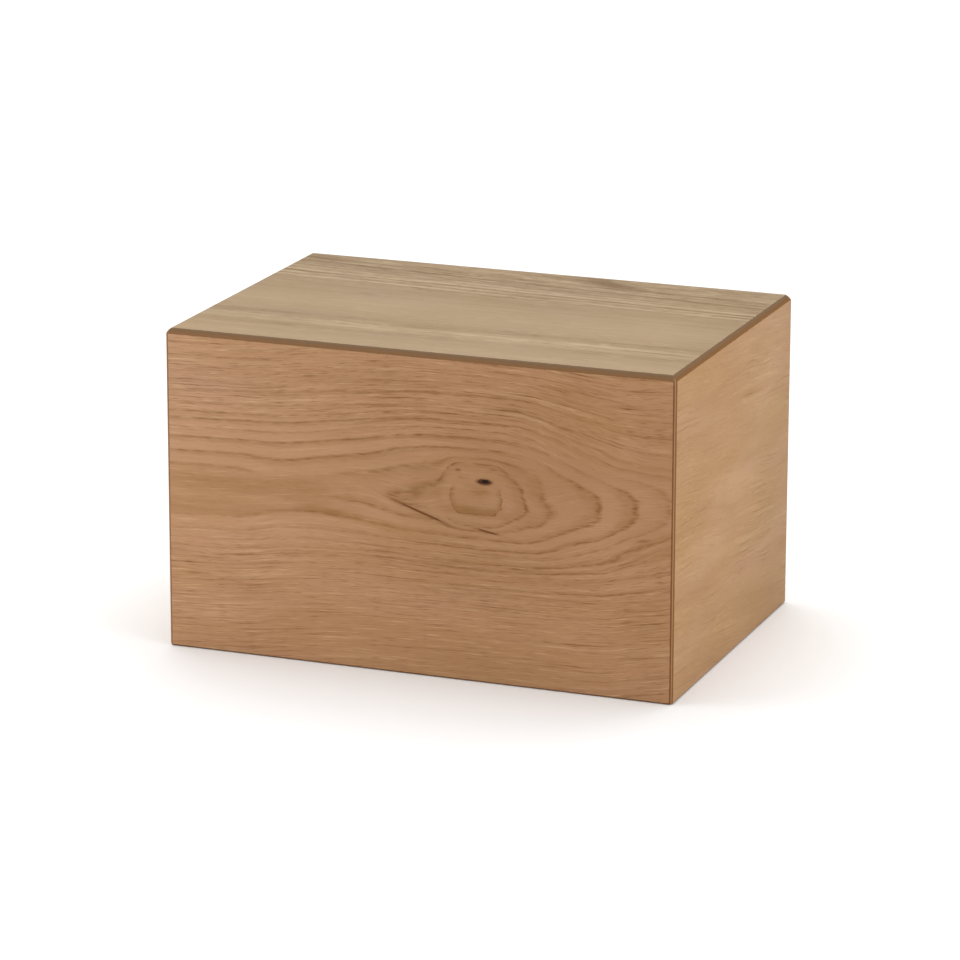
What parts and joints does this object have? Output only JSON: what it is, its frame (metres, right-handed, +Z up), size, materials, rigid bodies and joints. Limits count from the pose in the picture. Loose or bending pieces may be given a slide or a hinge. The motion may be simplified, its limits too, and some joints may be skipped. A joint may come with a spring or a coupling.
{
  "type": "cremation urn box",
  "caption": "Plain rectangular wooden box urn with mitred, eased edges, hollow inside, closed from below by a screwed base panel.",
  "frame": {"origin": "middle of the footprint, on the surface that the box stands on", "axes": "+X along the width to the viewer's right, -Y out of the front face with the knot, +Z up"},
  "size_m": [0.2312, 0.16, 0.1422],
  "materials": {
    "front_veneer": "satin",
    "back_veneer": "satin",
    "left_veneer": "satin",
    "right_veneer": "satin",
    "top_veneer": "satin",
    "fibreboard": "matt",
    "screw_steel": "zinc plated"
  },
  "bodies": {
    "root": {"front_board": "front_veneer", "back_board": "back_veneer", "left_board": "left_veneer", "right_board": "right_veneer", "top_board": "top_veneer", "base_board": "fibreboard", "base_screw_1": "screw_steel", "base_screw_2": "screw_steel", "base_screw_3": "screw_steel", "base_screw_4": "screw_steel"}
  },
  "joints": []
}
